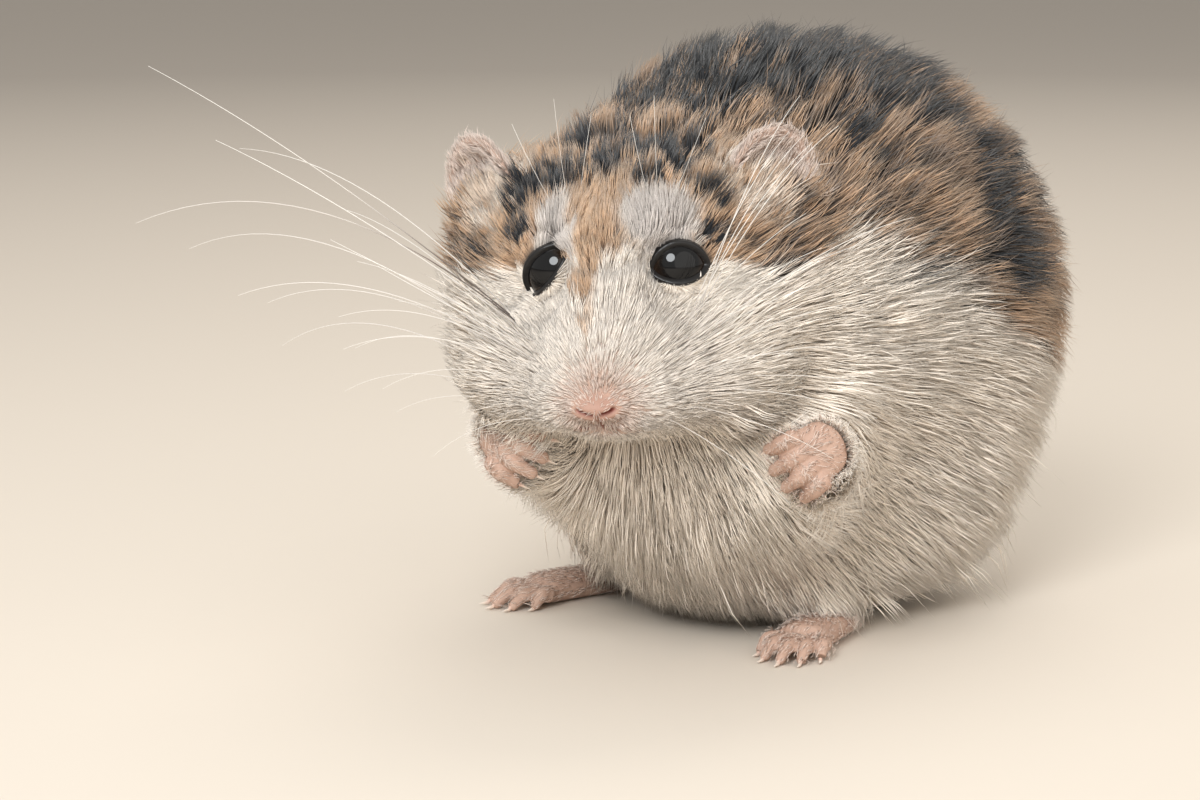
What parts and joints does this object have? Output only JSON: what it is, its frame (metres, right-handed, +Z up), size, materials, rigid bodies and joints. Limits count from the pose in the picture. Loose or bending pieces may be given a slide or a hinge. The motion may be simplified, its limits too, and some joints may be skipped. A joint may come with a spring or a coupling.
{
  "type": "roborovski dwarf hamster",
  "caption": "Crouched dwarf hamster model, head turned to its left, forepaws raised to grip food, resting on belly and hind feet.",
  "frame": {"origin": "on the floor under the centre of the whole animal's bounding box", "axes": "+Z up, +Y towards the rump and tail, -Y towards the face, +X towards the animal's left side"},
  "size_m": [0.0374, 0.054, 0.0391],
  "materials": {
    "coat": "soft matte fur",
    "bare_skin": "soft skin",
    "ear_skin": "thin downy skin",
    "eye": "wet gloss"
  },
  "bodies": {
    "root": {"head": "coat", "left_ear": "ear_skin", "left_eye": "eye", "left_foreleg": "coat", "left_forepaw": "bare_skin", "left_hind_foot": "bare_skin", "left_thigh": "coat", "nose": "bare_skin", "right_ear": "ear_skin", "right_eye": "eye", "right_foreleg": "coat", "right_forepaw": "bare_skin", "right_hind_foot": "bare_skin", "right_thigh": "coat", "tail": "coat", "trunk": "coat"}
  },
  "joints": []
}
